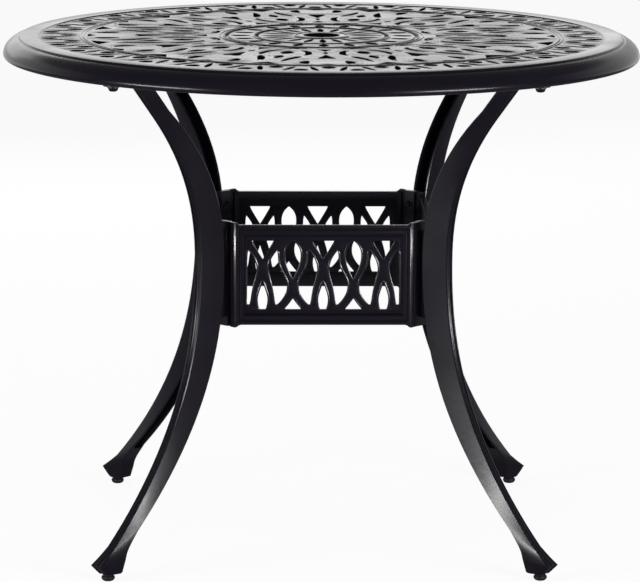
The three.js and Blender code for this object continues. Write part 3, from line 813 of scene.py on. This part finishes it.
def makeLeg(setup):
    shape = looped([legRing(setup, station, openness) for station, openness in legStations(setup)], False)
    fromReach, toReach, width, bottom, top = setup["head"]
    outline = stadium(fromReach, toReach, width, setup["headSteps"])
    addShape(shape, slab(outline, [], bottom, top, setup["headRound"]))
    near, far, padWidth, low, high = setup["pad"]
    pad = bmesh.new()
    bmesh.ops.create_cube(pad, size=1)
    bmesh.ops.scale(pad, vec=(far - near, padWidth, high - low), verts=pad.verts)
    bmesh.ops.translate(pad, vec=((near + far) / 2, 0, (low + high) / 2), verts=pad.verts)
    bmesh.ops.bevel(pad, geom=pad.edges, offset=setup["padRound"], affect="EDGES", segments=2, profile=0.5,
                    material=-1)
    addShape(shape, pad)
    return finishMesh(shape, "leg", powderCoat, setup["smoothAngle"])


legMesh = makeLeg(legCasting)
for corner, angle in cornerAngles.items():
    name = "leg_casting_" + corner
    placePiece(name, turnedMesh(legMesh, name, angle), "frame", "leg_" + corner)
print("stage 5: legs")


# Brace panels

bracePanel = {
    "frontReach": 158.4,
    "bottom": 335.4,
    "halfLength": 124.3,
    "height": 143,
    "railWidth": 21,
    "stileWidth": 16.5,
    "pitch": 85.7,
    "wingRise": 3.6,
    "wingThickness": 4,
    "wingStart": 24.1,
    "wingLap": 9,
    "wingRound": 0.5,
    "joggleStart": 11.1,
    "lapGap": 0.3,
    "plateFront": 3.6,
    "plateBack": 8.2,
    "plateRound": 0.7,
    "plateLap": 0.7,  # how far the lattice reaches into the frame
    "shoulderFront": 0.2,
    "shoulderBack": 4.3,
    "shoulderRound": 0.4,
    "windowReach": 21.8,
    "beadOffset": 1.3,
    "beadHalfWidth": 1.25,
    "beadHeight": 0.62,
    "beadPeak": 0.1,
    "beadFoot": 0.05,
    "beadRoot": -0.5,
}
# Moulding of the frame, as (share of its width in from the outer edge, behind the front)
frameShares = ((0, 1.6), (0.03, 0.5), (0.09, 0), (0.2, 0), (0.26, 0.5), (0.29, 1.5), (0.36, 1.5), (0.39, 0.7),
               (0.45, 0.3), (0.62, 0.3), (0.67, 0.8), (0.7, 2), (0.78, 3.35), (0.97, 3.45), (1, 3.8),
               (1, 8.2), (0.97, 8.6), (0.06, 9), (0, 8.4))
# Holes between the bands, as (across from the crossing, up from the lower edge of the window)
veeEdge = ((15.6, 99.5), (8.2, 86.5), (2.8, 77.5), (0, 73))
spindleEdge = ((0, 41), (2.1, 34), (4.6, 26.5), (6.2, 20.5), (6.8, 15), (6.3, 9), (5.1, 4), (4, 1))
onionEdge = ((0, 99.3), (3.6, 96.2), (7, 92), (9.6, 86.5), (10.7, 80), (10.5, 73), (9, 65.5), (6.4, 58),
             (3.2, 51), (0, 44.5))
tentEdge = ((0, 16.5), (3.2, 12), (7.2, 6.8), (12.2, 1))
nearEdge = ((20.2, 85.5), (15.4, 79), (12, 73), (9.4, 65), (8.6, 58.5), (9.2, 52.5), (10.8, 45.5), (13, 38),
            (14.8, 30), (16.2, 22), (17.3, 14), (18.6, 8))
farEdge = ((18.6, 8), (20.4, 7.7), (23.2, 10), (27.3, 14.8), (31, 20.8), (33.5, 27), (34.4, 33), (34.1, 38.5),
           (33, 43), (30.3, 49), (27, 55), (24, 60.5), (22.4, 66), (21.6, 73), (21.3, 80), (20.2, 85.5))
# Half a shoulder of the frame, as (across, up) from the middle of the panel's lower edge
shoulderEdge = ((115.3, 138), (116.8, 143.1), (119.1, 143.6), (120.9, 144.9), (122.6, 146.1), (124.6, 146.6),
                (124.6, 138))
# Upright reeds on a wing, as (along the corner face, behind it)
reedEdge = ((0, 0), (0.6, -1.0), (2.2, -1.6), (4, -1.2), (4.8, -0.1), (6, 0), (6.7, -0.7), (8, -0.8),
            (8.8, 0), (9.6, 0))


def panelFrame(setup):
    rings = []
    for share, depth in frameShares:
        half = setup["halfLength"] - share * setup["stileWidth"]
        low, high = share * setup["railWidth"], setup["height"] - share * setup["railWidth"]
        rings.append([(-half, depth, low), (half, depth, low), (half, depth, high), (-half, depth, high)])
    return looped(rings, True)


def windowPlace(setup, centre, side, place):
    return Vector((centre + side * place.x, setup["railWidth"] + place.y))


def mirroredHole(setup, edge, centre):
    line = smoothLine([Vector(place) for place in edge], outlineSteps)
    right = [windowPlace(setup, centre, 1, place) for place in line]
    left = [windowPlace(setup, centre, -1, place) for place in line[::-1] if place.x > 0.01]
    return right + left


def sideHole(setup, centre, side, cut):  # the outermost ones end at the frame
    near = smoothLine([Vector(place) for place in nearEdge], outlineSteps)
    far = smoothLine([Vector(place) for place in farEdge], outlineSteps)
    if cut:
        reach = setup["windowReach"]
        beyond = [place.y for place in far if place.x > reach]
        low = [place for place in far if place.x <= reach and place.y < beyond[0]]
        high = [place for place in far if place.x <= reach and place.y > beyond[-1]]
        far = [*low, Vector((reach, beyond[0])), Vector((reach, beyond[-1])), *high]
    return [windowPlace(setup, centre, side, place) for place in [*near[:-1], *far[:-1]]]


def windowHoles(setup):
    holes = []
    pitch = setup["pitch"]
    for centre in (-pitch, 0, pitch):
        holes.append(mirroredHole(setup, veeEdge, centre))
        holes.append(mirroredHole(setup, spindleEdge, centre))
        for side in (-1, 1):
            holes.append(sideHole(setup, centre, side, side * centre > 0))
    for centre in (-pitch / 2, pitch / 2):
        holes.append(mirroredHole(setup, onionEdge, centre))
        holes.append(mirroredHole(setup, tentEdge, centre))
    return holes


def beadLoop(setup, outline, height):  # a raised bead all round a hole
    outward = 1 if windingArea(outline) < 0 else -1
    half, rise = setup["beadHalfWidth"], setup["beadHeight"]
    right = ((setup["beadPeak"], rise), (half, setup["beadFoot"]), (half, setup["beadRoot"]))
    section = [(-across, up) for across, up in right[::-1]] + list(right)
    rings = []
    for place, point in enumerate(outline):
        along = outline[(place + 1) % len(outline)] - outline[place - 1]
        along.normalize()
        across = Vector((-along.y, along.x)) * outward
        middle = point + across * setup["beadOffset"]
        rings.append([(*(middle + across * side), height + up) for side, up in section])
    return looped(rings, True)


def panelLattice(setup):
    holes = windowHoles(setup)
    half = setup["halfLength"] - setup["stileWidth"] + setup["plateLap"]
    low = setup["railWidth"] - setup["plateLap"]
    high = setup["height"] - low
    outline = [Vector(place) for place in ((-half, low), (half, low), (half, high), (-half, high))]
    lattice = slab(outline, holes, -setup["plateBack"], -setup["plateFront"], setup["plateRound"])
    for hole in holes:
        addShape(lattice, beadLoop(setup, hole, -setup["plateFront"]))
    return rotate(lattice, 90, "X")


def panelShoulders(setup):  # the curved steps from the frame up, and down, to the wings
    shoulders = bmesh.new()
    for side in (-1, 1):
        for low in (False, True):
            outline = []
            for across, up in shoulderEdge:
                outline.append(Vector((side * across, setup["height"] - up if low else up)))
            back, front = -setup["shoulderBack"], -setup["shoulderFront"]
            addShape(shoulders, slab(outline, [], back, front, setup["shoulderRound"]))
    return rotate(shoulders, 90, "X")


def wingPlan(setup, side):  # (along the corner face, behind it), with its upright reeds
    step = setup["wingThickness"] + setup["lapGap"] if side < 0 else 0
    end = setup["wingStart"] + setup["wingLap"]
    front = list(reedEdge)
    if side < 0:  # this wing steps back behind the next panel's
        stepEnd = setup["wingStart"] - setup["wingLap"] - setup["lapGap"]
        front += [(setup["joggleStart"], 0), (stepEnd, step)]
    front.append((end, step))
    back = [(along, max(depth, 0) + setup["wingThickness"]) for along, depth in front if depth >= 0]
    diagonal = math.sqrt(0.5)
    plan = []
    for along, depth in [*front, *back[::-1]]:
        across = setup["halfLength"] + (along - depth) * diagonal
        plan.append(Vector((side * across, (along + depth) * diagonal)))
    return plan


def makePanel(setup):
    shape = panelFrame(setup)
    addShape(shape, panelLattice(setup))
    addShape(shape, panelShoulders(setup))
    low, high = -setup["wingRise"], setup["height"] + setup["wingRise"]
    for side in (-1, 1):
        addShape(shape, slab(wingPlan(setup, side), [], low, high, setup["wingRound"]))
    return finishMesh(shape, "panel", powderCoat)


panelMesh = makePanel(bracePanel)
panelShift = (0, -bracePanel["frontReach"] * millimetre, bracePanel["bottom"] * millimetre)
for side, angle in sideAngles.items():
    name = "brace_casting_" + side
    placePiece(name, turnedMesh(panelMesh, name, angle, panelShift), "frame", "brace_" + side)
print("stage 6: brace panels")


# Fasteners and glides

topFastener = {
    "shank": 8,
    "head": 14,
    "headHeight": 5,
    "socket": 5.2,
    "length": 24.2,
    "washer": 17,
    "washerThickness": 1.6,
}
braceFastener = {
    "shank": 5,
    "head": 9.5,
    "headHeight": 3.6,
    "socket": 3.4,
    "length": 26.1,
    "washer": 12,
    "washerThickness": 1.2,
}
fastenerPlaces = {  # reach, height, lies flat
    "top_{}_outer": (414, 691.5, False),
    "top_{}_inner": (343, 691.5, False),
    "brace_{}_lower": (189.8, 352, True),
    "brace_{}_upper": (189.8, 461.8, True),
}
headShares = ((1, 0), (1, 0.2), (0.93, 0.55), (0.76, 0.86), (0.55, 1))  # of half the head, and of its height
roundSides = 24
socketSides = 6
turnedSteps = 32
washerGap = 0.3


def circleRing(radius, height, count):
    return [(*polar(radius, 360 * step / count), height) for step in range(count)]


def makeBolt(setup):
    head, tall, shank = setup["head"] / 2, setup["headHeight"], setup["shank"] / 2
    socket, length = setup["socket"] / 2, setup["length"]
    outline = [(shank - 0.5, length), (shank, length - 0.6), (shank, 0)]
    outline += [(head * across, -tall * up) for across, up in headShares]
    outline.append((socket + 0.4, -tall))
    rings = [circleRing(radius, height, roundSides) for radius, height in outline]
    rings += [circleRing(socket, height, socketSides) for height in (-tall + 0.2, -tall * 0.4)]
    return finishMesh(looped(rings, False), "bolt", darkSteel)


def makeWasher(setup):
    inner, outer, thick = setup["shank"] / 2 + 0.3, setup["washer"] / 2, setup["washerThickness"]
    profile = [(inner, 0.2), (inner, thick), (outer - 0.25, thick), (outer, thick - 0.3), (outer, 0.3),
               (outer - 0.25, 0), (inner + 0.2, 0)]
    return finishMesh(spun(profile, turnedSteps, True), "washer", darkSteel)


def layDown(mesh, name, reach, height, flat, angle):
    copy = mesh.copy()
    copy.name = name
    turn = Matrix.Rotation(math.pi / 2, 4, "Y") if flat else Matrix.Identity(4)
    copy.transform(turn)
    copy.transform(Matrix.Translation(Vector((reach, 0, height)) * millimetre))
    copy.transform(Matrix.Rotation(math.radians(angle), 4, "Z"))
    return copy


boltMeshes = {"top": makeBolt(topFastener), "brace": makeBolt(braceFastener)}
washerMeshes = {"top": makeWasher(topFastener), "brace": makeWasher(braceFastener)}
for pattern, (reach, height, flat) in fastenerPlaces.items():
    kind = pattern.split("_")[0]
    setup = topFastener if kind == "top" else braceFastener
    for corner, angle in cornerAngles.items():
        for form, meshes, lift in (("bolt", boltMeshes, 0), ("washer", washerMeshes, washerGap)):
            node = pattern.format(form) + "_" + corner
            name = node + "_turned"
            spot = (reach + lift, height) if flat else (reach, height + lift)
            placePiece(name, layDown(meshes[kind], name, *spot, flat, angle), "frame", node)

levelGlide = {
    "reach": 427,
    "profile": ((0, 0), (5, 0), (6.6, 0.5), (8.2, 1.7), (9.2, 3.3), (9.5, 4.6), (9.3, 6.2), (8.2, 7.4),
                (7.4, 8.2), (7.4, 9.4), (7.0, 9.7), (4.3, 9.7), (4.3, 4.6), (0, 4.6)),
}
glideMesh = finishMesh(spun(levelGlide["profile"], turnedSteps, False), "glide", glideNylon)
glideShift = (levelGlide["reach"] * millimetre, 0, 0)
for corner, angle in cornerAngles.items():
    name = "glide_moulding_" + corner
    mesh = turnedMesh(glideMesh, name, angle, glideShift)
    placePiece(name, mesh, "leveller_" + corner, "glide_" + corner)
print("stage 7: fasteners and glides")

for name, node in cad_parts.items():  # the nodes that nothing replaces, such as the studs
    if node.hide_render:
        continue
    chosen = powderCoat
    if "bolt" in name or "washer" in name:
        chosen = darkSteel
    elif "stud" in name:
        chosen = studSteel
    elif "glide" in name:
        chosen = glideNylon
    for slotPlace in node.material_slots:
        slotPlace.material = chosen
